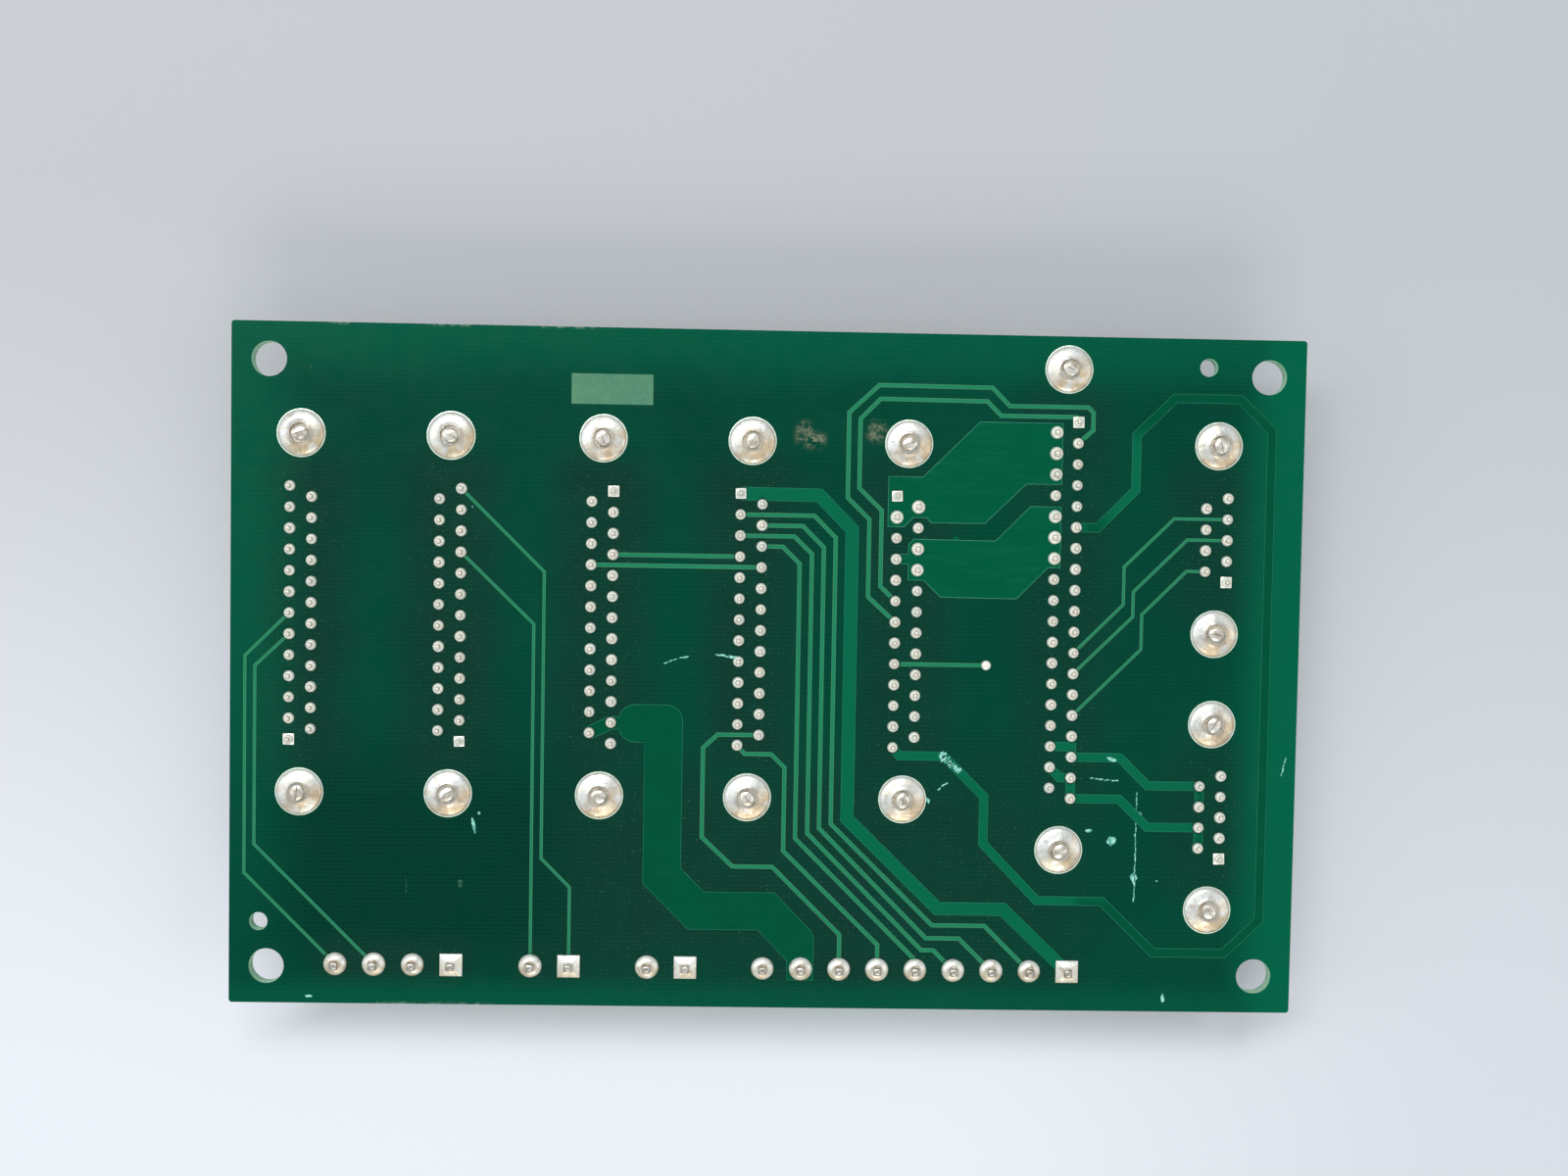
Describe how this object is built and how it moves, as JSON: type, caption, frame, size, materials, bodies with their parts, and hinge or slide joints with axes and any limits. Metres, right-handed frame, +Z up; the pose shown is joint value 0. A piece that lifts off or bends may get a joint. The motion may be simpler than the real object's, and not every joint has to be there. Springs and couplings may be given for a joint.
{
  "type": "connector circuit board",
  "caption": "Flat circuit board, solder side up, that carries a row of D connectors and a lower row of pluggable terminal headers.",
  "frame": {"origin": "under the middle of the board, on the surface that the connectors' mating rims stand on", "axes": "+X along the board's long side, +Y towards the connectors' end of the board, away from the terminal headers, +Z up out of the solder side"},
  "size_m": [0.141, 0.0896, 0.0154],
  "materials": {
    "solder_mask": "dark green mask on glass laminate",
    "covered_copper": "lighter green, mask over copper",
    "marking_ink": "matt ink",
    "solder": "bright tin solder",
    "tinned_steel": "tin plate on drawn steel",
    "connector_moulding": "moulded, satin",
    "gold_contact": "gold flash on brass",
    "nickel_bar": "nickel plate on turned bar",
    "header_moulding": "moulded, satin",
    "tinned_pin": "tin plate on brass"
  },
  "bodies": {
    "root": {"board": "solder_mask", "signal_tracks": "covered_copper", "power_tracks": "covered_copper", "copper_areas": "covered_copper", "marking_field": "marking_ink", "via": "solder", "terminal_solder": "solder", "screwlock_solder": "solder", "j1_shell": "tinned_steel", "j1_insulator": "connector_moulding", "j1_contacts": "gold_contact", "j1_screwlocks": "nickel_bar", "j1_solder": "solder", "j2_shell": "tinned_steel", "j2_insulator": "connector_moulding", "j2_contacts": "gold_contact", "j2_screwlocks": "nickel_bar", "j2_solder": "solder", "j3_shell": "tinned_steel", "j3_insulator": "connector_moulding", "j3_contacts": "gold_contact", "j3_screwlocks": "nickel_bar", "j3_solder": "solder", "j4_shell": "tinned_steel", "j4_insulator": "connector_moulding", "j4_contacts": "gold_contact", "j4_screwlocks": "nickel_bar", "j4_solder": "solder", "j5_shell": "tinned_steel", "j5_insulator": "connector_moulding", "j5_contacts": "gold_contact", "j5_screwlocks": "nickel_bar", "j5_solder": "solder", "j6_shell": "tinned_steel", "j6_insulator": "connector_moulding", "j6_contacts": "gold_contact", "j6_screwlocks": "nickel_bar", "j6_solder": "solder", "j7_shell": "tinned_steel", "j7_insulator": "connector_moulding", "j7_contacts": "gold_contact", "j7_screwlocks": "nickel_bar", "j7_solder": "solder", "j8_shell": "tinned_steel", "j8_insulator": "connector_moulding", "j8_contacts": "gold_contact", "j8_screwlocks": "nickel_bar", "j8_solder": "solder", "header_a_housing": "header_moulding", "header_a_pins": "tinned_pin", "header_b_housing": "header_moulding", "header_b_pins": "tinned_pin", "header_c_housing": "header_moulding", "header_c_pins": "tinned_pin", "header_d_housing": "header_moulding", "header_d_pins": "tinned_pin"}
  },
  "joints": []
}
